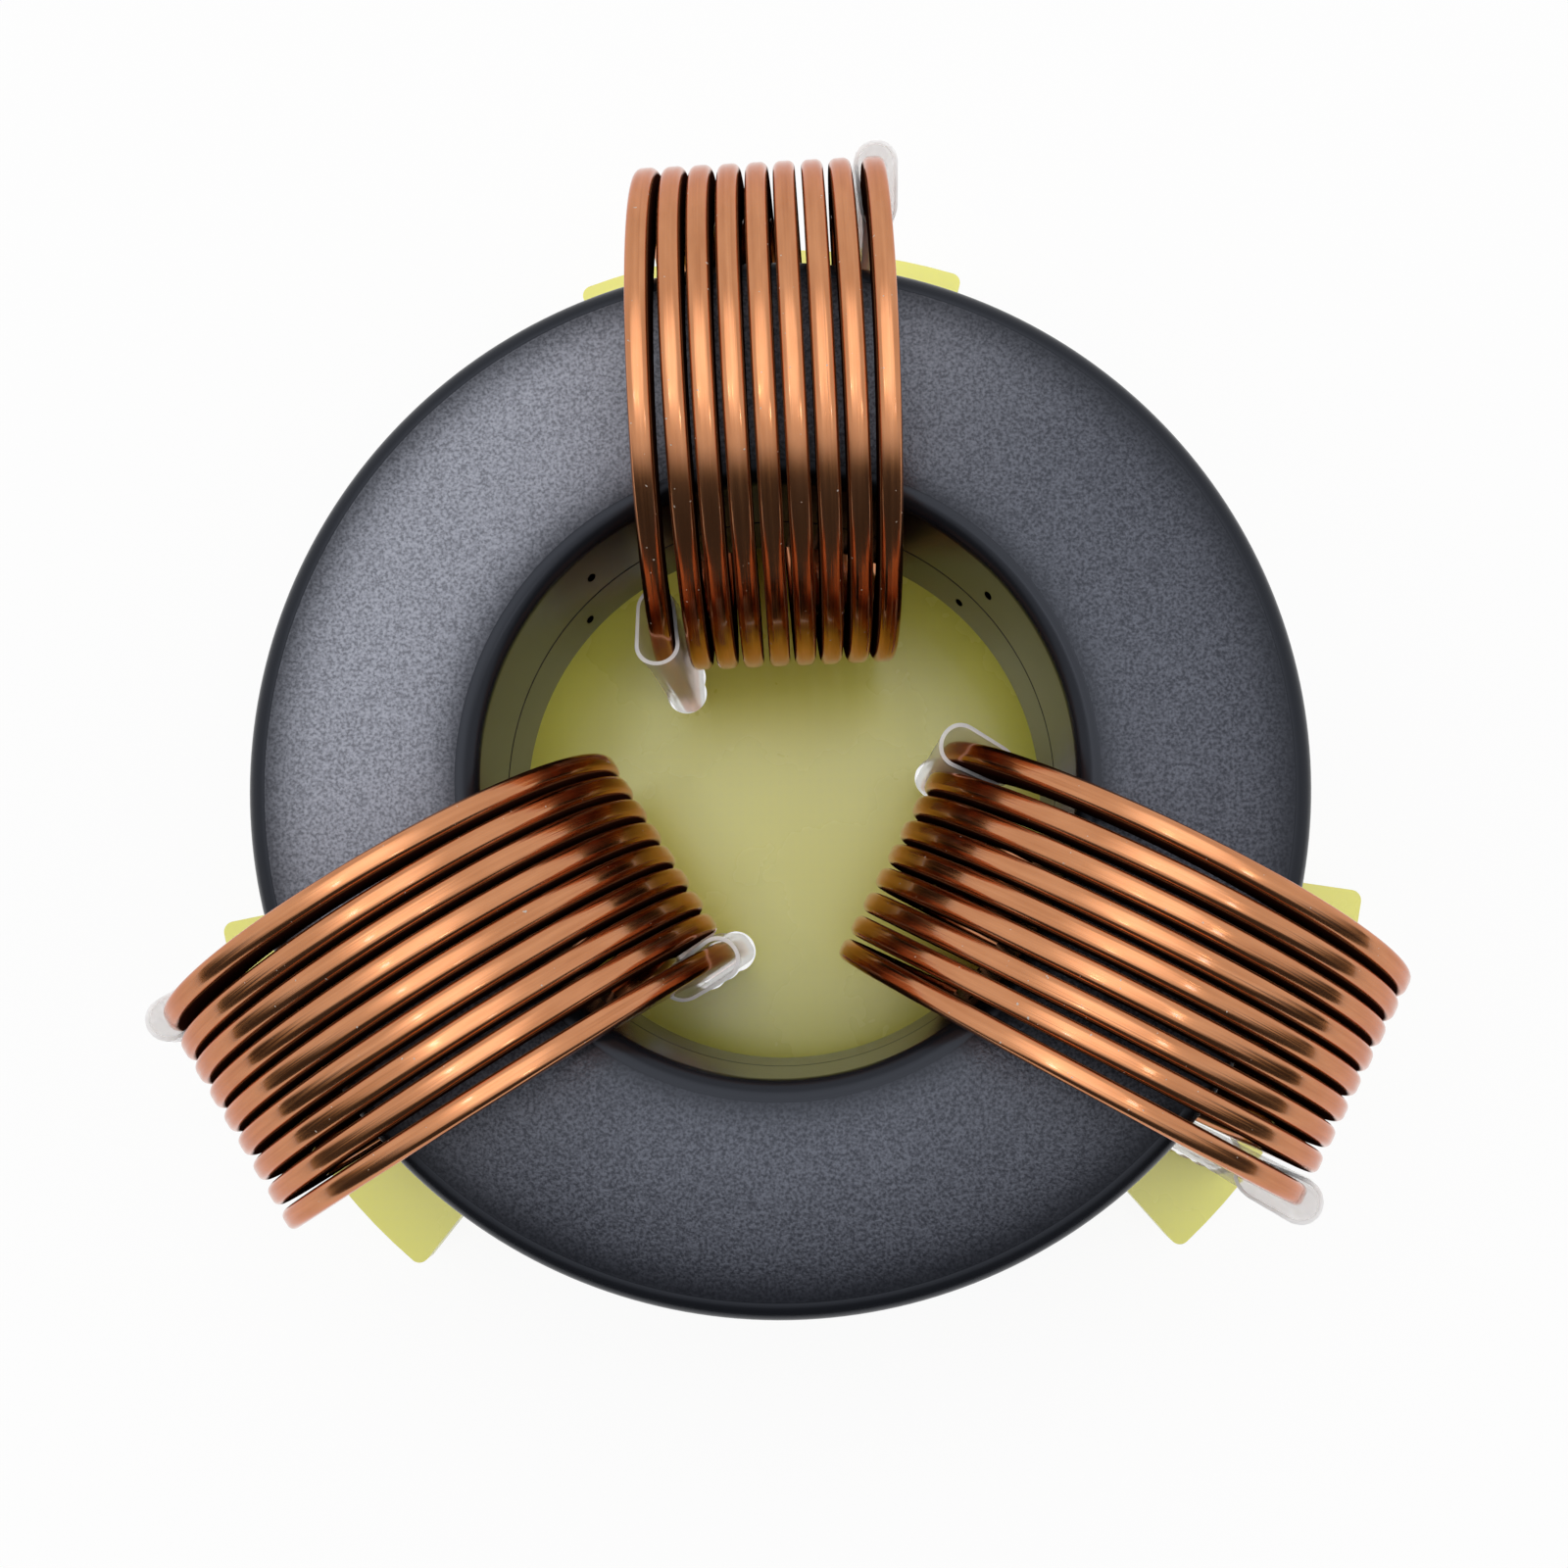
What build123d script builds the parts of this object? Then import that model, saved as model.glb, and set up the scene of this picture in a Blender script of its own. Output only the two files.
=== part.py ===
from build123d import *

import os
from math import cos, hypot, radians, sin, sqrt

# Three-phase common mode choke: a cased ring core, three edge-wound coils and a carrier plate.
# Millimetres, +Z up. The origin is the middle of the plate's underside, which lies on a board.
# The first winding stands on +Y, and the others follow at equal angles round the ring.

# Ring core
core_inner_diameter = 50.0
core_build = 15.0
core_height = 20.0

# Core case, two moulded half shells with a soft ring under and over the core
case_outer_wall = 1.5
case_bore_wall = 1.0
case_face_wall = 1.5
case_edge_round = 1.5
case_lower_height = 11.0
lap_length = 1.5
lap_clearance = 0.1
lap_wall_share = 0.5
core_outer_clearance = 0.5
core_bore_clearance = 0.4
cushion_thickness = 0.75

# Windings, flat wire bent on its edge
phase_names = ("u", "v", "w")
wire_depth = 5.0
wire_thickness = 1.8
turn_gap = 0.48
turns_over_top = 9
facets_per_turn = 28
coil_clearance = 0.45
coil_outset = 0.6
turn_yaw = 2.3
stack_yaw = 0.85
lead_spread = 0.6
pin_length = 4.0

# Insulating sleeves on the leads
sleeve_wall = 0.35
sleeve_clearance = 0.35
sleeve_corner = 0.8
sleeve_bore_corner = 0.5
sleeve_reach_angle = 16.0
sleeve_bend_shares = (0.5, 1.0)
mouth_outward_slack = 0.9
mouth_side_slack = 0.8

# Carrier plate
plate_thickness = 3.0
plate_hub_setback = 4.0
tab_margin = 1.6
tab_half_angle = 20.0
tab_corner_round = 1.0
tab_root_round = 6.0
slot_clearance = 0.2
inner_slot_drillings = 3
outer_slot_drillings = 5
coil_seat_gap = 0.1

# Case sizes that follow from the core
core_inner_radius = core_inner_diameter / 2
core_outer_radius = core_inner_radius + core_build
cavity_outer_radius = core_outer_radius + core_outer_clearance
cavity_inner_radius = core_inner_radius - core_bore_clearance
case_outer_radius = cavity_outer_radius + case_outer_wall
case_bore_radius = cavity_inner_radius - case_bore_wall
case_height = core_height + 2 * (cushion_thickness + case_face_wall)
outer_lap_depth = case_outer_wall * lap_wall_share
bore_lap_depth = case_bore_wall * lap_wall_share

# Coil sizes: the coil is set outward, so its turns lie closer to the edges of the bore
turn_pitch = wire_thickness + turn_gap
wound_turns = turns_over_top - 0.5
wound_angle = 360 * wound_turns
coil_half_length = (wound_turns * turn_pitch + wire_thickness) / 2
end_turn_shift = coil_half_length * sin(radians(stack_yaw))
outer_edge_reach = case_outer_radius - case_edge_round
inner_edge_reach = sqrt((case_bore_radius + case_edge_round) ** 2 - coil_half_length**2) - end_turn_shift
coil_centre_radius = (outer_edge_reach + inner_edge_reach) / 2 + coil_outset
edge_distance = hypot(coil_centre_radius - inner_edge_reach, case_height / 2 - case_edge_round)
coil_inner_radius = edge_distance + case_edge_round + coil_clearance
coil_mean_radius = coil_inner_radius + wire_depth / 2
coil_outer_radius = coil_inner_radius + wire_depth

# Heights: the coils stand on the plate and carry the case
coil_centre_height = plate_thickness + coil_seat_gap + coil_outer_radius
case_bottom = coil_centre_height - case_height / 2
case_seam = case_bottom + case_lower_height
case_top = case_bottom + case_height
cushion_bottom = case_bottom + case_face_wall
core_bottom = cushion_bottom + cushion_thickness
core_top = core_bottom + core_height

# Sleeve sizes that follow from the wire
sleeve_bore_depth = wire_depth + 2 * sleeve_clearance
sleeve_bore_width = wire_thickness + 2 * sleeve_clearance
sleeve_depth = sleeve_bore_depth + 2 * sleeve_wall
sleeve_width = sleeve_bore_width + 2 * sleeve_wall

first_winding_angle = 90
winding_step = 360 / len(phase_names)

# The first coil: its middle, the way its turns point out from the ring, and the way they are stacked
coil_centre = Vector(0, coil_centre_radius, coil_centre_height)
turn_outward = Vector(-sin(radians(turn_yaw)), cos(radians(turn_yaw)), 0)
coil_along = Vector(cos(radians(stack_yaw)), sin(radians(stack_yaw)), 0)
upward = Vector(0, 0, 1)


def lead_lean(angle_from_lead):
    """How far the last half turn leans away from its neighbour, to leave room for the sleeve."""
    if angle_from_lead >= 180:
        return 0
    return lead_spread * (1 + cos(radians(angle_from_lead))) / 2


def wire_plane(wound):
    """The wire's cross-section after winding through an angle from the inner lead, over the top first."""
    along = turn_pitch * (wound - wound_angle / 2) / 360
    along += lead_lean(wound_angle - wound) - lead_lean(wound)
    depth_direction = upward * sin(radians(wound)) - turn_outward * cos(radians(wound))
    travel = upward * cos(radians(wound)) + turn_outward * sin(radians(wound))
    centre = coil_centre + depth_direction * coil_mean_radius + coil_along * along
    return Plane(origin=centre, x_dir=depth_direction, z_dir=travel)


def dropped_to(plane, height):
    """The same level cross-section, straight below or above at another height."""
    return Plane(
        origin=(plane.origin.X, plane.origin.Y, height),
        x_dir=plane.x_dir,
        z_dir=plane.z_dir,
    )


def sleeve_stations(lead_angle, direction):
    """Cross-sections of a sleeve from the plate's underside up along the lead and round the turn.

    Each has its share of the slack that the sleeve has at its mouth.
    """
    lead = wire_plane(lead_angle)
    reach = direction * sleeve_reach_angle
    bend = [(wire_plane(lead_angle + reach * share), share) for share in sleeve_bend_shares]
    return [(dropped_to(lead, 0), 0), (lead, 0), *bend]


inner_lead = wire_plane(0)
outer_lead = wire_plane(wound_angle)

# Plate sizes: the hub stays under the case, and the tabs reach past the outer leads
plate_hub_radius = case_outer_radius - plate_hub_setback
plate_radius = hypot(outer_lead.origin.X, outer_lead.origin.Y + sleeve_depth / 2) + tab_margin

# Slots drilled as a row of holes: the end holes lie under the sleeve's narrow sides,
# and the cusps between neighbouring holes still clear its flat sides
slot_drill_step = (sleeve_depth - sleeve_width) / 2
slot_drill_radius = hypot(sleeve_width / 2 + slot_clearance, slot_drill_step / 2)

# Carrier plate
with BuildSketch() as tab_outline:
    with BuildLine():
        tab_arc = CenterArc((0, 0), plate_radius, -tab_half_angle, 2 * tab_half_angle)
        Line((0, 0), tab_arc @ 0)
        Line(tab_arc @ 1, (0, 0))
    make_face()

with BuildPart() as base_plate:
    with BuildSketch() as plate_outline:
        Circle(plate_hub_radius)
        with PolarLocations(0, len(phase_names), start_angle=first_winding_angle):
            add(tab_outline.sketch)
        corner_limit = (plate_hub_radius + plate_radius) / 2
        tab_corners = plate_outline.vertices().filter_by(lambda v: v.center().length > corner_limit)
        fillet(tab_corners, tab_corner_round)
        tab_roots = plate_outline.vertices().filter_by(lambda v: v.center().length < corner_limit)
        fillet(tab_roots, tab_root_round)
    extrude(amount=plate_thickness)
    with BuildSketch():
        with PolarLocations(0, len(phase_names)):
            for lead, drillings in (
                (inner_lead, inner_slot_drillings),
                (outer_lead, outer_slot_drillings),
            ):
                with Locations(Location((lead.origin.X, lead.origin.Y), first_winding_angle + turn_yaw)):
                    with Locations(*[(slot_drill_step * (1 - hole), 0) for hole in range(drillings)]):
                        Circle(slot_drill_radius)
    extrude(amount=plate_thickness, mode=Mode.SUBTRACT)


def case_shell(outside, cavity_start, cavity_end, rounded, lap_slack, lap_height, lap_mode):
    """A half shell turned about the ring's axis: a channel with rounded edges and its half of the lap.

    The lap lies on the cavity side of both walls, above the seam: a tongue is added, or its seat is cut.
    """
    low, high = outside
    with BuildPart() as shell:
        with BuildSketch(Plane.XZ) as section:
            with Locations(((case_bore_radius + case_outer_radius) / 2, (low + high) / 2)):
                Rectangle(case_outer_radius - case_bore_radius, high - low)
            rounded_edges = section.vertices().group_by(Axis.Y)[rounded]
            fillet(rounded_edges, case_edge_round)
            with Locations(
                ((cavity_inner_radius + cavity_outer_radius) / 2, (cavity_start + cavity_end) / 2)
            ):
                Rectangle(
                    cavity_outer_radius - cavity_inner_radius,
                    cavity_end - cavity_start,
                    mode=Mode.SUBTRACT,
                )
            with Locations((cavity_outer_radius, case_seam)):
                Rectangle(
                    outer_lap_depth - lap_slack,
                    lap_height,
                    align=(Align.MIN, Align.MIN),
                    mode=lap_mode,
                )
            with Locations((cavity_inner_radius, case_seam)):
                Rectangle(
                    bore_lap_depth - lap_slack,
                    lap_height,
                    align=(Align.MAX, Align.MIN),
                    mode=lap_mode,
                )
        revolve(axis=Axis.Z)
    return shell.part


def flat_ring(bottom, height):
    """A ring of the core's own inner and outer size."""
    with BuildPart() as ring:
        with BuildSketch(Plane.XY.offset(bottom)):
            Circle(core_outer_radius)
            Circle(core_inner_radius, mode=Mode.SUBTRACT)
        extrude(amount=height)
    return ring.part


def lofted_wire():
    """One winding: inner pin, lead, every turn and the outer lead down to its pin."""
    facet_angle = 360 / facets_per_turn
    facets = round(wound_turns * facets_per_turn)
    turns = [wire_plane(facet_angle * facet) for facet in range(facets + 1)]
    stations = [dropped_to(turns[0], -pin_length), *turns, dropped_to(turns[-1], -pin_length)]
    with BuildPart() as wire:
        for station in stations:
            with BuildSketch(station):
                Rectangle(wire_depth, wire_thickness)
        loft(ruled=True)
    return wire.part


def lofted_sleeve(stations, free_side):
    """A flattened tube through the given cross-sections, slack outward and on its free side."""
    with BuildPart() as sleeve:
        for depth, width, corner, mode in (
            (sleeve_depth, sleeve_width, sleeve_corner, Mode.ADD),
            (sleeve_bore_depth, sleeve_bore_width, sleeve_bore_corner, Mode.SUBTRACT),
        ):
            for station, share in stations:
                outward_slack = mouth_outward_slack * share
                side_slack = mouth_side_slack * share
                with BuildSketch(station) as section:
                    with Locations((outward_slack / 2, free_side * side_slack / 2)):
                        Rectangle(depth + outward_slack, width + side_slack)
                    chamfer(section.vertices(), corner)
            loft(ruled=True, mode=mode)
    return sleeve.part


pieces = {
    "base_plate": base_plate.part,
    "case_lower": case_shell(
        (case_bottom, case_seam), cushion_bottom, case_seam, 0, lap_clearance, lap_length, Mode.ADD
    ),
    "case_upper": case_shell(
        (case_seam, case_top),
        case_seam,
        case_top - case_face_wall,
        -1,
        0,
        lap_length + lap_clearance,
        Mode.SUBTRACT,
    ),
    "cushion_lower": flat_ring(cushion_bottom, cushion_thickness),
    "core": flat_ring(core_bottom, core_height),
    "cushion_upper": flat_ring(core_top, cushion_thickness),
}

phase_pieces = {
    "winding": lofted_wire(),
    "inner_sleeve": lofted_sleeve(sleeve_stations(0, 1), -1),
    "outer_sleeve": lofted_sleeve(sleeve_stations(wound_angle, -1), 1),
}
for phase, phase_name in enumerate(phase_names):
    for piece_name, first_piece in phase_pieces.items():
        with BuildPart() as turned_piece:
            add(first_piece, rotation=(0, 0, phase * winding_step))
        pieces[f"{piece_name}_{phase_name}"] = turned_piece.part

os.makedirs("parts", exist_ok=True)
for piece_name, piece in pieces.items():
    piece.label = piece_name
    export_step(piece, f"parts/{piece_name}.step")
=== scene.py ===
from math import cos, pi, radians, sin

import bpy
from mathutils import Matrix, Vector


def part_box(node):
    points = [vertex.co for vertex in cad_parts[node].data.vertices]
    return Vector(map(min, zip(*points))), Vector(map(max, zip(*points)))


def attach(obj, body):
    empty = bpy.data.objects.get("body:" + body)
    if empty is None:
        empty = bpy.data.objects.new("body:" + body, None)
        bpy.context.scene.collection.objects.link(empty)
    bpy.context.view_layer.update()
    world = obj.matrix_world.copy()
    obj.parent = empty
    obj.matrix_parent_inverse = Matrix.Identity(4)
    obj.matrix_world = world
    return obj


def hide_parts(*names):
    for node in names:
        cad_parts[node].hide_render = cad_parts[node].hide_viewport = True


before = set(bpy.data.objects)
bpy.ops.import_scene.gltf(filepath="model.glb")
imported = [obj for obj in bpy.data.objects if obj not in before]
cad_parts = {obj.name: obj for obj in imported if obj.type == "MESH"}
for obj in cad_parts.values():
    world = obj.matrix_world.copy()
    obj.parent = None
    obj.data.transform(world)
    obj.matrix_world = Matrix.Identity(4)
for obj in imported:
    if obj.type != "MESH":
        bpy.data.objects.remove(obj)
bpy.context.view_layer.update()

# Looks of a three-phase common mode choke. Metres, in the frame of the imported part.
mm = 0.001

# Sizes that the frame gives
case_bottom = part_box("case_lower")[0].z
case_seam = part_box("case_upper")[0].z
case_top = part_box("case_upper")[1].z
case_outer_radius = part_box("case_upper")[1].x
plate_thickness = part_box("base_plate")[1].z
coil_low, coil_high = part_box("winding_u")
pin_end = coil_low.z
coil_top = coil_high.z
phase_names = ("u", "v", "w")
winding_step = 2 * pi / len(phase_names)

# Case
case_bore_radius = 23.6 * mm
case_edge_round = 1.5 * mm
case_outer_wall = 1.5 * mm
case_bore_wall = 1.0 * mm
case_face_wall = 1.5 * mm
lap_length = 1.5 * mm
lap_clearance = 0.1 * mm
lap_wall_share = 0.5
seam_break = 0.2 * mm
face_step = 0.12 * mm
face_step_width = 0.2 * mm
bore_lip_width = 1.75 * mm
outer_lip_width = 1.6 * mm
case_steps_round = 256
round_steps = 10
sharp_angle = radians(35)

# Dimples in the bore wall, drawn only as painted shade without relief: an angle round the ring and a height
# each, repeated at equal steps
dimple_half_width = 0.5 * mm
dimple_half_height = 1.3 * mm
dimple_core_share = 0.75
dimple_step = radians(90)
upper_dimple = (radians(40.5), 28.6 * mm)
lower_dimple = (radians(45.8), 18.0 * mm)

# Painted sheen on the case's face: paler towards one side, growing across the ring in one direction
painted_sheen_direction = (-0.78, 0.62, 0)
painted_sheen_start = -8 * mm
painted_sheen_full = 36 * mm
painted_sheen_low_share = 0.4

# Flat wire and its turns
wire_depth = 5.0 * mm
wire_thickness = 1.8 * mm
wire_corner = 0.6 * mm
wire_corner_steps = 6
turn_gap = 0.48 * mm
turns_over_top = 9
coil_seat_gap = 0.1 * mm
turn_yaw = radians(2.3)
stack_yaw = radians(0.85)
lead_spread = 0.6 * mm
steps_per_turn = 96
strand_wander = 0.05 * mm
wound_wander_rates = (0.31, 1.13)
lead_steps = 30
pin_tip_break = 0.3 * mm
tin_full_height = -0.2 * mm
tin_end_height = 0.6 * mm
# How far the painted shade between the turns fades onto the wire's corners
shade_fade = 0.2 * mm

# Sleeves on the leads
sleeve_wall = 0.35 * mm
sleeve_clearance = 0.35 * mm
sleeve_corner = 1.2 * mm
sleeve_reach = radians(16)
sleeve_corner_steps = 10
sleeve_lead_steps = 24
sleeve_bend_steps = 16
mouth_outward_slack = 0.9 * mm
mouth_side_slack = 0.8 * mm
mouth_pinch_share = 0.25

# Viewpoint: focal length in pixels of the picture, place and angles against the ring's top face
picture_pixels = 1600
focal_pixels = 1692.7
sensor_width = 36.0
picture_turn = radians(1.6)
camera_offset = Vector((3.51 * mm, -12.29 * mm, 129.27 * mm))
camera_tilt = radians(5.12)
camera_roll = radians(1.29)
camera_clip_start = 10 * mm

# Stage: bright surroundings, brightest overhead and dark low on the onlooker's side, and two small lamps
floor_size = 3.0
floor_glow_share = 0.9
surround_strength = 0.95
dark_side_share = 0.06
dark_side_rise = 0.5
dark_side_start = 0.06
dark_side_full = -0.27
overhead_way = Vector((-0.04, 0.2, 1)).normalized()
overhead_strength = 1.15
overhead_edge = cos(radians(33))
overhead_full = cos(radians(6))
lamp_height = 636 * mm
left_lamp_place = (-150 * mm, -10 * mm, lamp_height)
left_lamp_side = 40 * mm
left_lamp_power = 0.055
right_lamp_place = (250 * mm, -110 * mm, lamp_height)
right_lamp_side = 50 * mm
right_lamp_power = 0.075

# Colours, linear
copper_deep = (0.44, 0.165, 0.055, 1)
copper_pale = (0.66, 0.30, 0.135, 1)
copper_edge = (0.80, 0.40, 0.27, 1)
# Painted shade: dark matt colour on the sides of the wire between the turns
painted_gap_shade = (0.05, 0.014, 0.008, 1)
enamel_tint = (1.0, 0.93, 0.88, 1)
tin = (0.62, 0.61, 0.58, 1)
dust_grey = (0.5, 0.47, 0.44, 1)
case_black = (0.009, 0.010, 0.013, 1)
case_dark = (0.018, 0.019, 0.026, 1)
case_light = (0.060, 0.063, 0.080, 1)
# Painted sheen: a pale grey laid on one side of the case's face
case_painted_sheen = (0.33, 0.34, 0.39, 1)
case_gloss_tint = (0.78, 0.84, 1.0, 1)
laminate_deep = (0.84, 0.81, 0.11, 1)
laminate_light = (0.87, 0.84, 0.14, 1)
glass_fibre = (0.72, 0.70, 0.24, 1)
tube_milk = (0.88, 0.88, 0.91, 1)
tube_bright = (0.95, 0.95, 0.97, 1)
ribbon_dark = (0.2, 0.2, 0.21, 1)
ribbon_light = (0.36, 0.36, 0.37, 1)
foam_dark = (0.52, 0.52, 0.5, 1)
foam_light = (0.64, 0.64, 0.61, 1)
# Painted shade for the hollows of the dimples in the bore wall
dimple_painted_shade = (0, 0, 0, 1)
floor_grey = (0.9, 0.9, 0.9, 1)
white = (1, 1, 1, 1)

# Surfaces: scales in cycles a metre; a range runs from the low end of its pattern to the high end
noise_low = 0.3
noise_high = 0.7
streak_scales = (25, 3200, 1)
patch_scales = (180, 700, 1)
streak_bump = 0.9
streak_depth = 0.05 * mm
copper_roughness_range = (0.14, 0.26)
enamel_weight = 0.75
enamel_roughness = 0.09
dust_scale = 2600.0
dust_range = (0.77, 0.8)
level_range = (0.95, 0.995)
grain_scale = 4000.0
grain_range = (0.35, 0.65)
grain_gloss_range = (0.15, 0.6)
grain_bump = 0.9
grain_depth = 0.05 * mm
case_cloud_scale = 150.0
case_roughness_range = (0.36, 0.44)
wall_gloss = 0.3
wall_roughness = 0.26
thread_scale = 320.0
thread_distortion = 0.6
weave_share = 0.08
weave_bump = 0.08
weave_depth = 0.01 * mm
laminate_cloud_scale = 90.0
laminate_roughness_range = (0.22, 0.32)
laminate_gloss = 1.0
tube_cloud_scale = 500.0
tube_roughness_range = (0.28, 0.4)
tube_scatter_share = 0.8
tube_scatter_depth = 1.5 * mm
tube_scatter_colours = (1, 1, 1)
tube_opacity = 0.26
tube_rim_opacity = 0.9
ribbon_scale = 900.0
ribbon_distortion = 0.4
ribbon_roughness_range = (0.35, 0.5)
ribbon_bump = 0.3
ribbon_depth = 0.02 * mm
foam_scale = 1500.0
foam_roughness = 0.85
foam_bump = 0.4
foam_depth = 0.1 * mm

# Coil sizes that follow
turn_pitch = wire_thickness + turn_gap
wound_turns = turns_over_top - 0.5
wound_angle = 2 * pi * wound_turns
coil_outer_radius = (coil_top - plate_thickness - coil_seat_gap) / 2
coil_mean_radius = coil_outer_radius - wire_depth / 2
coil_centre_height = coil_top - coil_outer_radius
coil_centre_radius = (coil_low.y + coil_high.y) / 2
turn_length = 2 * pi * coil_mean_radius
lead_length = coil_centre_height - pin_end
tip_depth = wire_depth - 2 * pin_tip_break
tip_width = wire_thickness - 2 * pin_tip_break
tip_corner = wire_corner / 2
sleeve_depth = wire_depth + 2 * (sleeve_clearance + sleeve_wall)
sleeve_width = wire_thickness + 2 * (sleeve_clearance + sleeve_wall)

# The first coil: its middle, the way its turns point out from the ring, and the way they are stacked
coil_centre = Vector((0, coil_centre_radius, coil_centre_height))
turn_outward = Vector((-sin(turn_yaw), cos(turn_yaw), 0))
turn_sideways = Vector((cos(turn_yaw), sin(turn_yaw), 0))
coil_along = Vector((cos(stack_yaw), sin(stack_yaw), 0))
upward = Vector((0, 0, 1))
face_middle = Vector((0, 0, case_top))


# Node helpers
def node(tree, kind, inputs=None, **settings):
    """A shader node; its inputs are plain values or other nodes' output sockets."""
    made = tree.nodes.new(kind)
    for name, value in settings.items():
        setattr(made, name, value)
    for name, value in (inputs or {}).items():
        if isinstance(value, bpy.types.NodeSocket):
            tree.links.new(value, made.inputs[name])
        else:
            made.inputs[name].default_value = value
    return made


def arithmetic(tree, operation, first, second=0.0):
    """One operation on two numbers or sockets."""
    return node(tree, "ShaderNodeMath", {0: first, 1: second}, operation=operation).outputs[0]


def inverse(tree, value):
    """One less a value."""
    return arithmetic(tree, "SUBTRACT", 1.0, value)


def within(tree, value, low, high):
    """One where a value lies between two limits, and zero elsewhere."""
    above = arithmetic(tree, "GREATER_THAN", value, low)
    return arithmetic(tree, "MULTIPLY", above, arithmetic(tree, "LESS_THAN", value, high))


def vector_math(tree, operation, first, second=(0, 0, 0)):
    """The sockets of one operation on two vectors."""
    return node(tree, "ShaderNodeVectorMath", {0: first, 1: second}, operation=operation).outputs


def axes(tree, vector):
    """The X, Y and Z sockets of a vector."""
    return node(tree, "ShaderNodeSeparateXYZ", {0: vector}).outputs


def object_place(tree):
    """The place of a surface point in the frame of the part."""
    return node(tree, "ShaderNodeTexCoord").outputs["Object"]


def axis_distance(tree, place):
    """How far a place lies from the ring's axis."""
    flat = vector_math(tree, "MULTIPLY", place, (1, 1, 0))["Vector"]
    return vector_math(tree, "LENGTH", flat)["Value"]


def noise(tree, vector, scale, detail=2.0, roughness=0.5):
    """Smooth noise between 0 and 1 at a scale in cycles a metre."""
    inputs = {"Vector": vector, "Scale": scale, "Detail": detail, "Roughness": roughness}
    return node(tree, "ShaderNodeTexNoise", inputs).outputs["Fac"]


def spread(tree, value, low, high, to_low, to_high, smooth=False):
    """A value mapped from one range to another, held at both ends."""
    inputs = {"Value": value, "From Min": low, "From Max": high, "To Min": to_low, "To Max": to_high}
    kind = "SMOOTHSTEP" if smooth else "LINEAR"
    return node(tree, "ShaderNodeMapRange", inputs, interpolation_type=kind).outputs["Result"]


def blend(tree, factor, first, second):
    """A colour between two colours."""
    return node(tree, "ShaderNodeMix", {0: factor, 6: first, 7: second}, data_type="RGBA").outputs[2]


# Mesh helpers
def finished(name, vertices, faces, material, nodes):
    """A named mesh piece that stands for CAD nodes, shaded smooth up to a sharp angle."""
    mesh = bpy.data.meshes.new(name)
    mesh.from_pydata(vertices, [], faces)
    mesh.shade_smooth()
    mesh.set_sharp_from_angle(angle=sharp_angle)
    mesh.materials.append(material)
    piece = bpy.data.objects.new(name, mesh)
    bpy.context.scene.collection.objects.link(piece)
    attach(piece, "root")
    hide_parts(*nodes)
    return piece


def skin_faces(ring_count, ring_size, closed):
    """Four-sided faces between neighbouring rings of points; closed joins the last ring to the first."""
    faces = []
    for ring in range(ring_count if closed else ring_count - 1):
        here = ring * ring_size
        there = (ring + 1) % ring_count * ring_size
        for step in range(ring_size):
            after = (step + 1) % ring_size
            faces.append((here + step, here + after, there + after, there + step))
    return faces


def add_length_coordinates(piece, rings, ring_size):
    """Surface coordinates in metres, along the swept length and round the first ring."""
    lengths = [0.0]
    for before, after in zip(rings, rings[1:]):
        lengths.append(lengths[-1] + (sum(after, Vector()) - sum(before, Vector())).length / ring_size)
    rounds = [0.0]
    for before, after in zip(rings[0], rings[0][1:] + rings[0][:1]):
        rounds.append(rounds[-1] + (after - before).length)
    layer = piece.data.uv_layers.new(name="length")
    for polygon in piece.data.polygons:
        steps = [piece.data.loops[loop].vertex_index % ring_size for loop in polygon.loop_indices]
        wraps = max(steps) - min(steps) > ring_size / 2
        for loop, step in zip(polygon.loop_indices, steps):
            ring = piece.data.loops[loop].vertex_index // ring_size
            around = rounds[ring_size if wraps and step == 0 else step]
            layer.data[loop].uv = (lengths[ring], around)


def rounded_outline(depth, width, corner, corner_steps):
    """Points of a rectangle with round corners, about its middle."""
    points = []
    for quarter in range(4):
        side_x = 1 if quarter in (0, 3) else -1
        side_y = 1 if quarter in (0, 1) else -1
        for step in range(corner_steps + 1):
            angle = pi / 2 * (quarter + step / corner_steps)
            x = side_x * (depth / 2 - corner) + corner * cos(angle)
            y = side_y * (width / 2 - corner) + corner * sin(angle)
            points.append((x, y))
    return points


def arc(centre_radius, centre_height, radius, start, end):
    """Points of a round edge in a turned section, angles in degrees."""
    angles = [radians(start + (end - start) * step / round_steps) for step in range(round_steps + 1)]
    return [(centre_radius + radius * cos(a), centre_height + radius * sin(a)) for a in angles]


# The line of the wire
def lead_lean(angle_from_lead):
    """How far the last half turn leans away from its neighbour, to leave room for the sleeve."""
    if angle_from_lead >= pi:
        return 0
    return lead_spread * (1 + cos(angle_from_lead)) / 2


def wander(wound, phase):
    """Slightly uneven spacing of the turns."""
    slow = sin(wound_wander_rates[0] * wound + phase)
    quick = sin(wound_wander_rates[1] * wound + 2 * phase)
    return strand_wander * (slow + quick) / 2


def wire_station(wound, phase):
    """Centre, depth direction and sideways direction of the wire, wound from the inner lead."""
    along = turn_pitch * (wound - wound_angle / 2) / (2 * pi)
    along += lead_lean(wound_angle - wound) - lead_lean(wound) + wander(wound, phase)
    depth_direction = sin(wound) * upward - cos(wound) * turn_outward
    centre = coil_centre + coil_mean_radius * depth_direction + along * coil_along
    return centre, depth_direction, turn_sideways


def at_height(station, height):
    """The same cross-section straight below or above."""
    centre, depth_direction, sideways = station
    return Vector((centre.x, centre.y, height)), depth_direction, sideways


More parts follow.
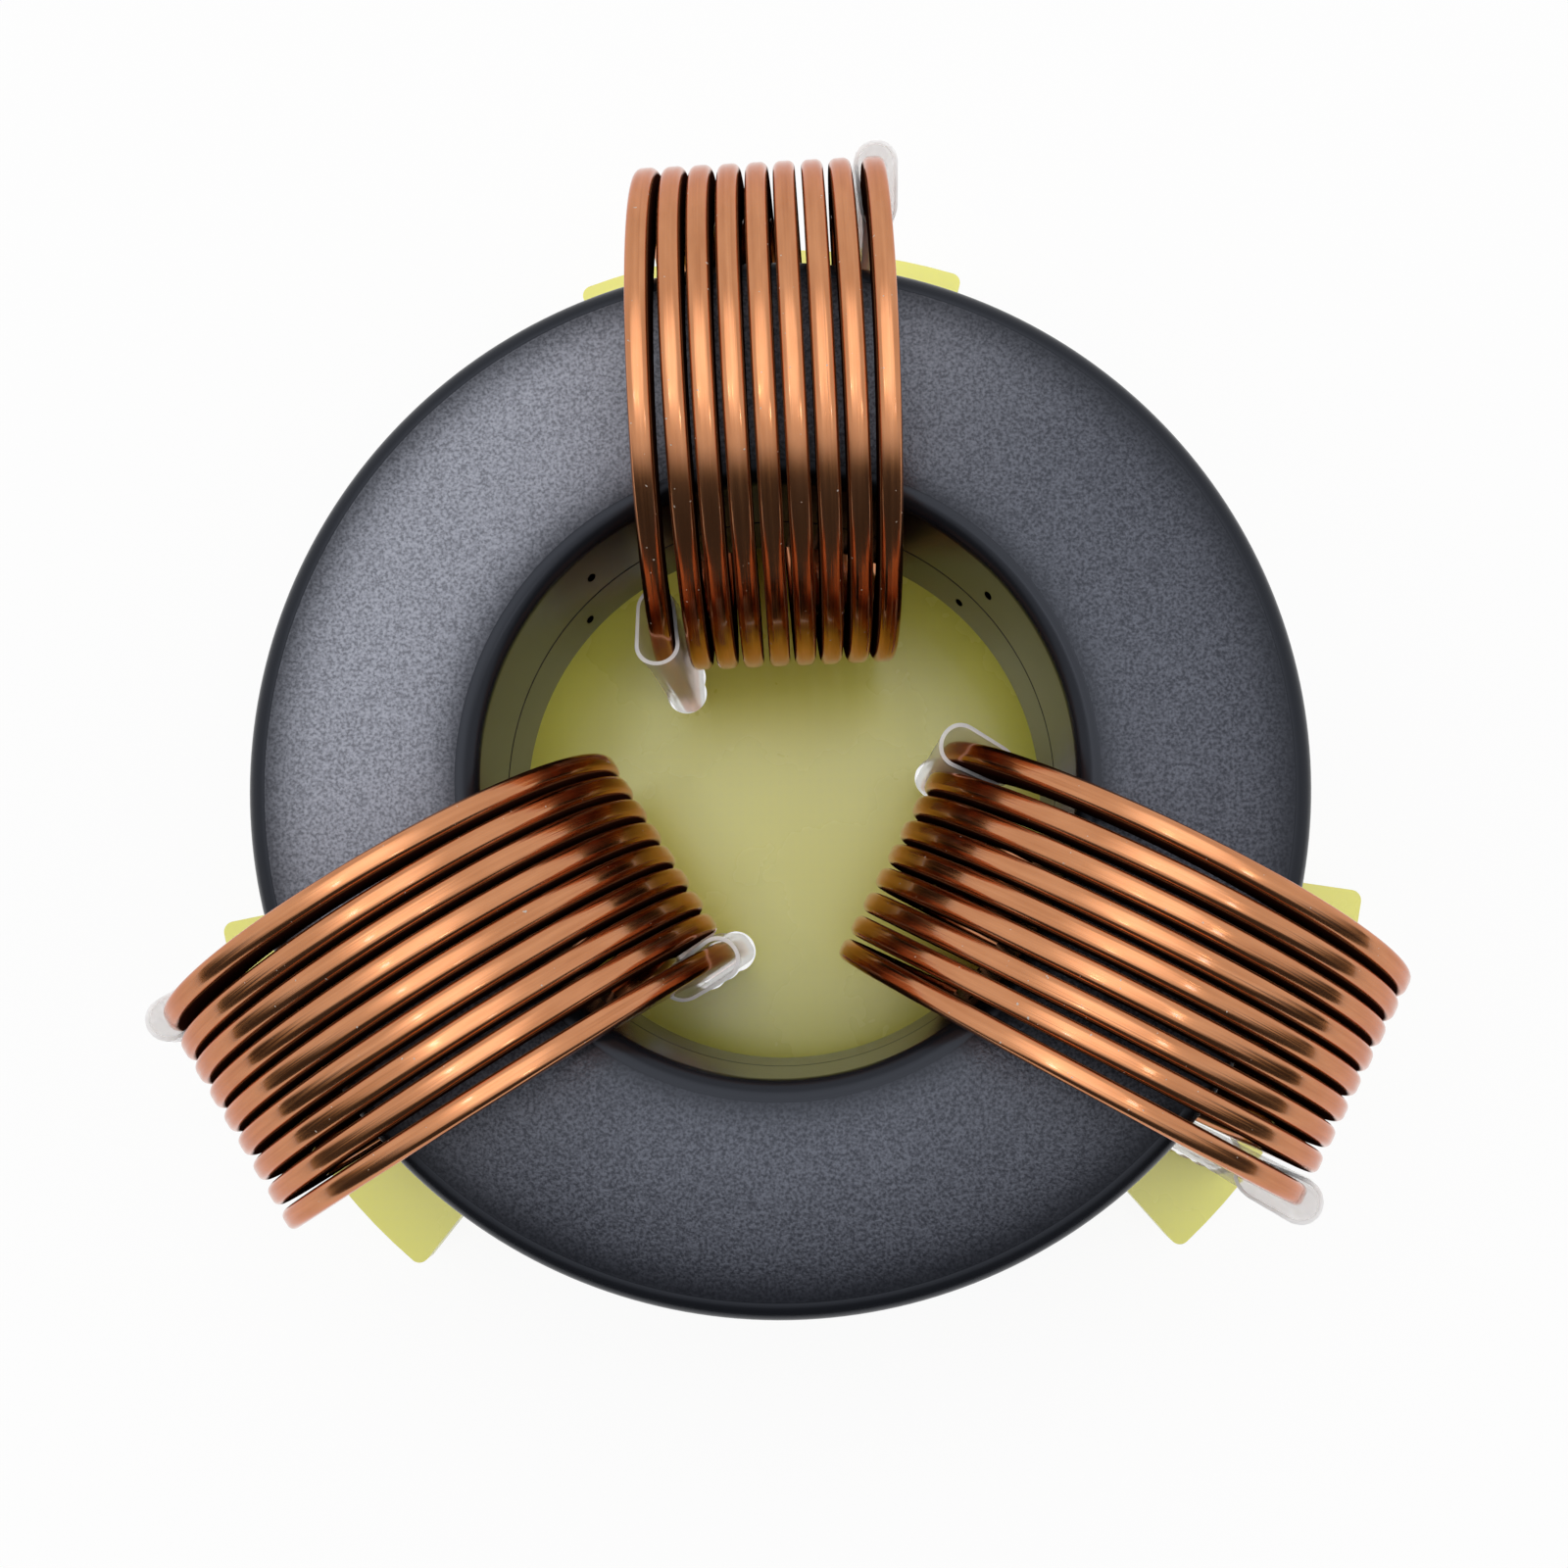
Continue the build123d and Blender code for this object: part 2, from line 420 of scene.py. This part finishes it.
def ring_of(station, outline, phase):
    """The outline set across the wire at a station, turned to its place on the ring."""
    centre, depth_direction, sideways = station
    turn = Matrix.Rotation(phase * winding_step, 3, "Z")
    return [turn @ (centre + x * depth_direction + y * sideways) for x, y in outline]


def make_winding(phase, material):
    """One winding of flat wire with round corners, from pin to pin."""
    outline = rounded_outline(wire_depth, wire_thickness, wire_corner, wire_corner_steps)
    tip = rounded_outline(tip_depth, tip_width, tip_corner, wire_corner_steps)
    turn_steps = round(wound_turns * steps_per_turn)
    turns = [wire_station(wound_angle * step / turn_steps, phase) for step in range(turn_steps + 1)]
    lead_heights = [
        pin_end + pin_tip_break + lead_length * step / lead_steps for step in range(lead_steps)
    ]
    rings = [ring_of(at_height(turns[0], pin_end), tip, phase)]
    rings += [ring_of(at_height(turns[0], height), outline, phase) for height in lead_heights]
    rings += [ring_of(turn, outline, phase) for turn in turns]
    rings += [ring_of(at_height(turns[-1], height), outline, phase) for height in reversed(lead_heights)]
    rings += [ring_of(at_height(turns[-1], pin_end), tip, phase)]
    ring_size = len(outline)
    vertices = [point for ring in rings for point in ring]
    faces = skin_faces(len(rings), ring_size, closed=False)
    faces.append(tuple(reversed(range(ring_size))))
    faces.append(tuple(range(len(vertices) - ring_size, len(vertices))))
    node_name = f"winding_{phase_names[phase]}"
    piece_name = f"coil_{phase_names[phase]}"
    piece = finished(piece_name, vertices, faces, material, [node_name])
    add_length_coordinates(piece, rings, ring_size)
    return piece


def pinched(outline, depth, opening):
    """An outline drawn in, most at its inner edge, as the mouth opens."""
    return [(x, y * (1 - mouth_pinch_share * opening * (0.5 - x / depth))) for x, y in outline]


def make_sleeve(end_name, phase, lead_wound, direction, material, rim_material):
    """A thin flattened tube from the plate up its lead, with a loose mouth on the first of the turn."""
    lead = wire_station(lead_wound, phase)
    stations = []
    for step in range(sleeve_lead_steps):
        share = step / sleeve_lead_steps
        stations.append((at_height(lead, coil_centre_height * share), 0.0))
    for step in range(sleeve_bend_steps + 1):
        share = step / sleeve_bend_steps
        opening = share**2
        stations.append((wire_station(lead_wound + direction * sleeve_reach * share, phase), opening))
    outer_rings = []
    inner_rings = []
    for (centre, depth_direction, sideways), opening in stations:
        shift = (mouth_outward_slack * depth_direction - mouth_side_slack * direction * sideways) / 2
        station = (centre + opening * shift, depth_direction, sideways)
        depth = sleeve_depth + mouth_outward_slack * opening
        width = sleeve_width + mouth_side_slack * opening
        corner = sleeve_corner + (width / 2 - sleeve_corner) * opening
        for rings, inset in ((outer_rings, 0), (inner_rings, sleeve_wall)):
            outline = rounded_outline(
                depth - 2 * inset, width - 2 * inset, corner - inset, sleeve_corner_steps
            )
            rings.append(ring_of(station, pinched(outline, depth, opening), phase))
    rings = outer_rings + list(reversed(inner_rings))
    ring_size = len(rings[0])
    vertices = [point for ring in rings for point in ring]
    faces = skin_faces(len(rings), ring_size, closed=True)
    node_name = f"{end_name}_sleeve_{phase_names[phase]}"
    piece_name = f"{end_name}_tube_{phase_names[phase]}"
    piece = finished(piece_name, vertices, faces, material, [node_name])
    piece.data.materials.append(rim_material)
    mouth_ring = len(outer_rings) - 1
    for polygon in piece.data.polygons[mouth_ring * ring_size:(mouth_ring + 1) * ring_size]:
        polygon.material_index = 1
    return piece


def make_turned(name, profile, material, nodes):
    """A closed section turned about the ring's axis."""
    vertices = []
    for step in range(case_steps_round):
        angle = 2 * pi * step / case_steps_round
        vertices += [(radius * cos(angle), radius * sin(angle), height) for radius, height in profile]
    faces = skin_faces(case_steps_round, len(profile), closed=True)
    return finished(name, vertices, faces, material, nodes)


def upper_shell_profile():
    """Section of the upper half shell: bore wall, lip, raised face, outer wall and the hollow inside."""
    lip = case_top - face_step
    cavity_outer = case_outer_radius - case_outer_wall
    cavity_inner = case_bore_radius + case_bore_wall
    outer_lap = cavity_outer + case_outer_wall * lap_wall_share
    bore_lap = cavity_inner - case_bore_wall * lap_wall_share
    lap_top = case_seam + lap_length + lap_clearance
    return [
        (case_bore_radius + seam_break, case_seam),
        (case_bore_radius, case_seam + seam_break),
        *arc(case_bore_radius + case_edge_round, lip - case_edge_round, case_edge_round, 180, 90),
        (case_bore_radius + bore_lip_width, lip),
        (case_bore_radius + bore_lip_width + face_step_width, case_top),
        (case_outer_radius - outer_lip_width - face_step_width, case_top),
        (case_outer_radius - outer_lip_width, lip),
        *arc(case_outer_radius - case_edge_round, lip - case_edge_round, case_edge_round, 90, 0),
        (case_outer_radius, case_seam + seam_break),
        (case_outer_radius - seam_break, case_seam),
        (outer_lap, case_seam),
        (outer_lap, lap_top),
        (cavity_outer, lap_top),
        (cavity_outer, case_top - case_face_wall),
        (cavity_inner, case_top - case_face_wall),
        (cavity_inner, lap_top),
        (bore_lap, lap_top),
        (bore_lap, case_seam),
    ]


def lower_shell_profile():
    """Section of the lower half shell, with the tongue of the lap above its rim."""
    cavity_outer = case_outer_radius - case_outer_wall
    cavity_inner = case_bore_radius + case_bore_wall
    outer_tongue = cavity_outer + case_outer_wall * lap_wall_share - lap_clearance
    bore_tongue = cavity_inner - case_bore_wall * lap_wall_share + lap_clearance
    floor_top = case_bottom + case_face_wall
    tongue_top = case_seam + lap_length
    return [
        *arc(case_bore_radius + case_edge_round, case_bottom + case_edge_round, case_edge_round, 270, 180),
        (case_bore_radius, case_seam - seam_break),
        (case_bore_radius + seam_break, case_seam),
        (bore_tongue, case_seam),
        (bore_tongue, tongue_top),
        (cavity_inner, tongue_top),
        (cavity_inner, floor_top),
        (cavity_outer, floor_top),
        (cavity_outer, tongue_top),
        (outer_tongue, tongue_top),
        (outer_tongue, case_seam),
        (case_outer_radius - seam_break, case_seam),
        (case_outer_radius, case_seam - seam_break),
        *arc(case_outer_radius - case_edge_round, case_bottom + case_edge_round, case_edge_round, 0, -90),
    ]


# Materials
def new_material(name):
    """A material with its node tree and main shader."""
    material = bpy.data.materials.new(name)
    material.use_nodes = True
    return material, material.node_tree, material.node_tree.nodes["Principled BSDF"]


def set_bump(tree, shader, height, strength, depth):
    """Fine relief from a height socket; depth is in metres."""
    bump = node(tree, "ShaderNodeBump", {"Height": height, "Strength": strength, "Distance": depth})
    tree.links.new(bump.outputs["Normal"], shader.inputs["Normal"])


def painted_shade_between_turns(tree, surface):
    """One on the flat sides of the wire that face a neighbouring turn, fading out on its corners: where the
    shade between the turns is painted.
    """
    ways = axes(tree, surface)
    along, around = ways["X"], ways["Y"]
    # The way round is measured on the pin's tip
    half_round = pi * tip_corner + tip_depth + tip_width - 4 * tip_corner
    side_half = tip_depth / 2 - tip_corner
    side_middle = pi / 2 * tip_corner + side_half
    off_middle = arithmetic(tree, "SUBTRACT", arithmetic(tree, "MODULO", around, half_round), side_middle)
    off_middle = arithmetic(tree, "ABSOLUTE", off_middle)
    on_side = spread(tree, off_middle, side_half, side_half + shade_fade, 1.0, 0.0, smooth=True)
    later_side = arithmetic(tree, "LESS_THAN", around, half_round)
    wound = arithmetic(tree, "SUBTRACT", along, lead_length)
    before_last = within(tree, wound, 0.0, (wound_turns - 1) * turn_length)
    after_first = within(tree, wound, turn_length, wound_turns * turn_length)
    faces_later = arithmetic(tree, "MULTIPLY", later_side, before_last)
    faces_earlier = arithmetic(tree, "MULTIPLY", inverse(tree, later_side), after_first)
    return arithmetic(tree, "MULTIPLY", on_side, arithmetic(tree, "ADD", faces_later, faces_earlier))


def copper_material():
    """Copper under clear amber enamel, drawn along the wire, with tinned pins, a little dust and painted
    shade on the sides that face the next turn.
    """
    material, tree, shader = new_material("enamelled_copper")
    place = object_place(tree)
    surface = node(tree, "ShaderNodeUVMap", uv_map="length").outputs["UV"]
    drawn = vector_math(tree, "MULTIPLY", surface, streak_scales)["Vector"]
    smeared = vector_math(tree, "MULTIPLY", surface, patch_scales)["Vector"]
    lines = noise(tree, drawn, 1.0, detail=3.0, roughness=0.6)
    streaks = spread(tree, lines, noise_low, noise_high, 0.0, 1.0)
    patches = spread(tree, noise(tree, smeared, 1.0, detail=3.0), noise_low, noise_high, 0.0, 1.0)
    tone = arithmetic(tree, "DIVIDE", arithmetic(tree, "ADD", streaks, patches), 2.0)
    dust = spread(tree, noise(tree, place, dust_scale, detail=1.0), *dust_range, 0.0, 1.0)
    tinned = spread(tree, axes(tree, place)["Z"], tin_full_height, tin_end_height, 1.0, 0.0)
    # Painted shade: the sides that face the next turn are dark matt, without metal or enamel, for the deep
    # shade between the turns
    shade = painted_shade_between_turns(tree, surface)
    bare = inverse(tree, shade)
    dusty = blend(tree, dust, blend(tree, tone, copper_deep, copper_pale), dust_grey)
    dipped = blend(tree, tinned, dusty, tin)
    metal = arithmetic(tree, "MULTIPLY", bare, inverse(tree, dust))
    rough = spread(tree, lines, noise_low, noise_high, *copper_roughness_range)
    tree.links.new(blend(tree, shade, dipped, painted_gap_shade), shader.inputs["Base Color"])
    tree.links.new(metal, shader.inputs["Metallic"])
    tree.links.new(rough, shader.inputs["Roughness"])
    tree.links.new(arithmetic(tree, "MULTIPLY", bare, enamel_weight), shader.inputs["Coat Weight"])
    shader.inputs["Specular Tint"].default_value = copper_edge
    shader.inputs["Specular IOR Level"].default_value = 0.0
    shader.inputs["Coat Roughness"].default_value = enamel_roughness
    shader.inputs["Coat Tint"].default_value = enamel_tint
    set_bump(tree, shader, lines, streak_bump, streak_depth)
    return material


def dimple_mask(tree, place, dimple):
    """One where an oval dimple of the bore wall lies; the dimples stand at equal steps round the ring."""
    angle, height = dimple
    ways = axes(tree, place)
    turned = arithmetic(tree, "SUBTRACT", arithmetic(tree, "ARCTAN2", ways["Y"], ways["X"]), angle)
    steps = arithmetic(tree, "DIVIDE", turned, dimple_step)
    off_steps = arithmetic(tree, "SUBTRACT", steps, arithmetic(tree, "ROUND", steps))
    around = arithmetic(tree, "MULTIPLY", off_steps, dimple_step * case_bore_radius / dimple_half_width)
    above = arithmetic(tree, "DIVIDE", arithmetic(tree, "SUBTRACT", ways["Z"], height), dimple_half_height)
    off_middle = node(tree, "ShaderNodeCombineXYZ", {"X": around, "Y": above}).outputs[0]
    distance = vector_math(tree, "LENGTH", off_middle)["Value"]
    near = spread(tree, distance, dimple_core_share, 1.0, 1.0, 0.0)
    on_wall = arithmetic(tree, "LESS_THAN", axis_distance(tree, place), case_bore_radius + case_bore_wall / 2)
    return arithmetic(tree, "MULTIPLY", near, on_wall)


def case_material():
    """Dark moulded plastic: grained on the faces, with a painted sheen paler towards one side, smoother on
    the lips and walls, and with painted shade in the dimples.
    """
    material, tree, shader = new_material("case_plastic")
    place = object_place(tree)
    facing = node(tree, "ShaderNodeNewGeometry").outputs["Normal"]
    level = arithmetic(tree, "ABSOLUTE", axes(tree, facing)["Z"])
    lip_end = case_bore_radius + bore_lip_width
    rim_start = case_outer_radius - outer_lip_width
    inside_lips = within(tree, axis_distance(tree, place), lip_end, rim_start)
    on_face = spread(tree, level, *level_range, 0.0, 1.0, smooth=True)
    on_face = arithmetic(tree, "MULTIPLY", on_face, inside_lips)
    grain = noise(tree, place, grain_scale, roughness=0.6)
    clouds = noise(tree, place, case_cloud_scale, detail=4.0)
    raised = spread(tree, grain, *grain_range, 0.0, 1.0)
    plain = blend(tree, on_face, case_black, blend(tree, raised, case_dark, case_light))
    # Painted sheen: the face grows paler towards one side, most on the raised grain
    toward_painted_sheen = vector_math(tree, "DOT_PRODUCT", place, painted_sheen_direction)["Value"]
    painted_sheen = spread(tree, toward_painted_sheen, painted_sheen_start, painted_sheen_full, 0.0, 1.0, smooth=True)
    painted_sheen = arithmetic(tree, "MULTIPLY", painted_sheen, spread(tree, raised, 0.0, 1.0, painted_sheen_low_share, 1.0))
    painted_sheen = arithmetic(tree, "MULTIPLY", painted_sheen, on_face)
    with_painted_sheen = blend(tree, painted_sheen, plain, case_painted_sheen)
    # Painted shade: the dimples are black and without gloss, for the shade in their hollows
    upper = dimple_mask(tree, place, upper_dimple)
    lower = dimple_mask(tree, place, lower_dimple)
    dimples = arithmetic(tree, "MAXIMUM", upper, lower)
    gloss = arithmetic(tree, "MULTIPLY", on_face, spread(tree, raised, 0.0, 1.0, *grain_gloss_range))
    gloss = arithmetic(tree, "ADD", gloss, wall_gloss)
    gloss = arithmetic(tree, "MULTIPLY", gloss, inverse(tree, dimples))
    rough = spread(tree, clouds, noise_low, noise_high, *case_roughness_range)
    rough = arithmetic(tree, "MAXIMUM", arithmetic(tree, "MULTIPLY", on_face, rough), wall_roughness)
    tree.links.new(blend(tree, dimples, with_painted_sheen, dimple_painted_shade), shader.inputs["Base Color"])
    tree.links.new(gloss, shader.inputs["Specular IOR Level"])
    tree.links.new(rough, shader.inputs["Roughness"])
    shader.inputs["Specular Tint"].default_value = case_gloss_tint
    set_bump(tree, shader, arithmetic(tree, "MULTIPLY", grain, on_face), grain_bump, grain_depth)
    return material


def laminate_material():
    """Yellow-green glass-epoxy laminate with a faint weave under its surface."""
    material, tree, shader = new_material("laminate")
    place = object_place(tree)
    thread = {"Vector": place, "Scale": thread_scale, "Distortion": thread_distortion}
    across = node(tree, "ShaderNodeTexWave", thread).outputs["Fac"]
    along = node(tree, "ShaderNodeTexWave", thread, bands_direction="Y").outputs["Fac"]
    weave = arithmetic(tree, "MULTIPLY", across, along)
    clouds = noise(tree, place, laminate_cloud_scale, detail=4.0)
    tone = blend(tree, clouds, laminate_deep, laminate_light)
    woven = arithmetic(tree, "MULTIPLY", weave, weave_share)
    rough = spread(tree, clouds, noise_low, noise_high, *laminate_roughness_range)
    tree.links.new(blend(tree, woven, tone, glass_fibre), shader.inputs["Base Color"])
    tree.links.new(rough, shader.inputs["Roughness"])
    shader.inputs["Specular IOR Level"].default_value = laminate_gloss
    set_bump(tree, shader, weave, weave_bump, weave_depth)
    return material


def sleeve_material(name, opacity):
    """Milky tube, whose opacity tells its thin wall from its cut rim."""
    material, tree, shader = new_material(name)
    clouds = noise(tree, object_place(tree), tube_cloud_scale, detail=3.0)
    rough = spread(tree, clouds, noise_low, noise_high, *tube_roughness_range)
    tree.links.new(blend(tree, clouds, tube_milk, tube_bright), shader.inputs["Base Color"])
    tree.links.new(rough, shader.inputs["Roughness"])
    shader.inputs["Subsurface Weight"].default_value = tube_scatter_share
    shader.inputs["Subsurface Scale"].default_value = tube_scatter_depth
    shader.inputs["Subsurface Radius"].default_value = tube_scatter_colours
    shader.inputs["Alpha"].default_value = opacity
    return material


def core_material():
    """Edges of wound metal ribbon: fine concentric lines."""
    material, tree, shader = new_material("core_ribbon")
    lines = {"Vector": object_place(tree), "Scale": ribbon_scale, "Distortion": ribbon_distortion}
    layers = node(tree, "ShaderNodeTexWave", lines, wave_type="RINGS", rings_direction="Z").outputs["Fac"]
    rough = spread(tree, layers, 0.0, 1.0, *ribbon_roughness_range)
    tree.links.new(blend(tree, layers, ribbon_dark, ribbon_light), shader.inputs["Base Color"])
    tree.links.new(rough, shader.inputs["Roughness"])
    shader.inputs["Metallic"].default_value = 1.0
    set_bump(tree, shader, layers, ribbon_bump, ribbon_depth)
    return material


def cushion_material():
    """Soft pale bedding ring."""
    material, tree, shader = new_material("cushion")
    cells = noise(tree, object_place(tree), foam_scale, detail=3.0)
    tree.links.new(blend(tree, cells, foam_dark, foam_light), shader.inputs["Base Color"])
    shader.inputs["Roughness"].default_value = foam_roughness
    set_bump(tree, shader, cells, foam_bump, foam_depth)
    return material


def dress(node_name, material):
    """Gives a CAD node's own object a material."""
    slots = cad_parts[node_name].data.materials
    slots.clear()
    slots.append(material)


# Pieces
copper = copper_material()
case_plastic = case_material()
sleeve_tube = sleeve_material("sleeve", tube_opacity)
sleeve_rim = sleeve_material("sleeve_rim", tube_rim_opacity)
for phase in range(len(phase_names)):
    make_winding(phase, copper)
    make_sleeve("inner", phase, 0.0, 1, sleeve_tube, sleeve_rim)
    make_sleeve("outer", phase, wound_angle, -1, sleeve_tube, sleeve_rim)
make_turned("upper_shell", upper_shell_profile(), case_plastic, ["case_upper"])
make_turned("lower_shell", lower_shell_profile(), case_plastic, ["case_lower"])
dress("base_plate", laminate_material())
dress("core", core_material())
cushion = cushion_material()
for node_name in ("cushion_lower", "cushion_upper"):
    dress(node_name, cushion)


# Stage
def make_floor():
    """A pale floor that shows nearly white and keeps a faint shadow."""
    material, tree, shader = new_material("floor")
    tree.nodes.remove(shader)
    path = node(tree, "ShaderNodeLightPath").outputs
    seen = arithmetic(tree, "MAXIMUM", path["Is Camera Ray"], path["Is Glossy Ray"])
    seen = arithmetic(tree, "MAXIMUM", seen, path["Is Transmission Ray"])
    share = arithmetic(tree, "MULTIPLY", seen, floor_glow_share)
    matt = node(tree, "ShaderNodeBsdfDiffuse", {"Color": floor_grey}).outputs[0]
    glow = node(tree, "ShaderNodeEmission", {"Color": white, "Strength": 1.0}).outputs[0]
    mixed = node(tree, "ShaderNodeMixShader", {0: share, 1: matt, 2: glow}).outputs[0]
    tree.links.new(mixed, tree.nodes["Material Output"].inputs["Surface"])
    half = floor_size / 2
    mesh = bpy.data.meshes.new("floor")
    corners = [(-half, -half), (half, -half), (half, half), (-half, half)]
    mesh.from_pydata([(x, y, pin_end) for x, y in corners], [], [(0, 1, 2, 3)])
    mesh.materials.append(material)
    floor = bpy.data.objects.new("floor", mesh)
    bpy.context.scene.collection.objects.link(floor)


def make_world():
    """Soft surroundings, dark on the onlooker's side, that show white to the camera."""
    world = bpy.data.worlds.new("studio")
    bpy.context.scene.world = world
    world.use_nodes = True
    tree = world.node_tree
    direction = node(tree, "ShaderNodeTexCoord").outputs["Generated"]
    ways = axes(tree, direction)
    lifted = arithmetic(tree, "MULTIPLY", ways["Z"], dark_side_rise)
    toward_light = arithmetic(tree, "ADD", ways["Y"], lifted)
    lit = spread(tree, toward_light, dark_side_full, dark_side_start, dark_side_share, 1.0, smooth=True)
    overhead = vector_math(tree, "DOT_PRODUCT", direction, overhead_way)["Value"]
    glow = spread(tree, overhead, overhead_edge, overhead_full, 0.0, overhead_strength, smooth=True)
    around = arithmetic(tree, "ADD", arithmetic(tree, "MULTIPLY", lit, surround_strength), glow)
    camera_ray = node(tree, "ShaderNodeLightPath").outputs["Is Camera Ray"]
    background = tree.nodes["Background"]
    background.inputs["Color"].default_value = white
    tree.links.new(arithmetic(tree, "MAXIMUM", around, camera_ray), background.inputs["Strength"])


def make_lamp(name, place, side, power):
    """A small square lamp that faces the middle of the ring."""
    lamp = bpy.data.lights.new(name, "AREA")
    lamp.shape = "SQUARE"
    lamp.size = side
    lamp.energy = power
    holder = bpy.data.objects.new(name, lamp)
    holder.location = place
    aim = face_middle - Vector(place)
    holder.rotation_euler = aim.to_track_quat("-Z", "Y").to_euler()
    bpy.context.scene.collection.objects.link(holder)


def make_camera():
    """The photograph's viewpoint, found from the circles of the ring."""
    lens = bpy.data.cameras.new("camera")
    lens.sensor_width = sensor_width
    lens.lens = sensor_width * focal_pixels / picture_pixels
    lens.clip_start = camera_clip_start
    holder = bpy.data.objects.new("camera", lens)
    holder.matrix_world = (
        Matrix.Rotation(-picture_turn, 4, "Z")
        @ Matrix.Translation(face_middle + camera_offset)
        @ Matrix.Rotation(camera_roll, 4, "Y")
        @ Matrix.Rotation(camera_tilt, 4, "X")
    )
    bpy.context.scene.collection.objects.link(holder)
    bpy.context.scene.camera = holder


make_floor()
make_world()
make_lamp("left_lamp", left_lamp_place, left_lamp_side, left_lamp_power)
make_lamp("right_lamp", right_lamp_place, right_lamp_side, right_lamp_power)
make_camera()
bpy.context.scene.view_settings.view_transform = "Standard"
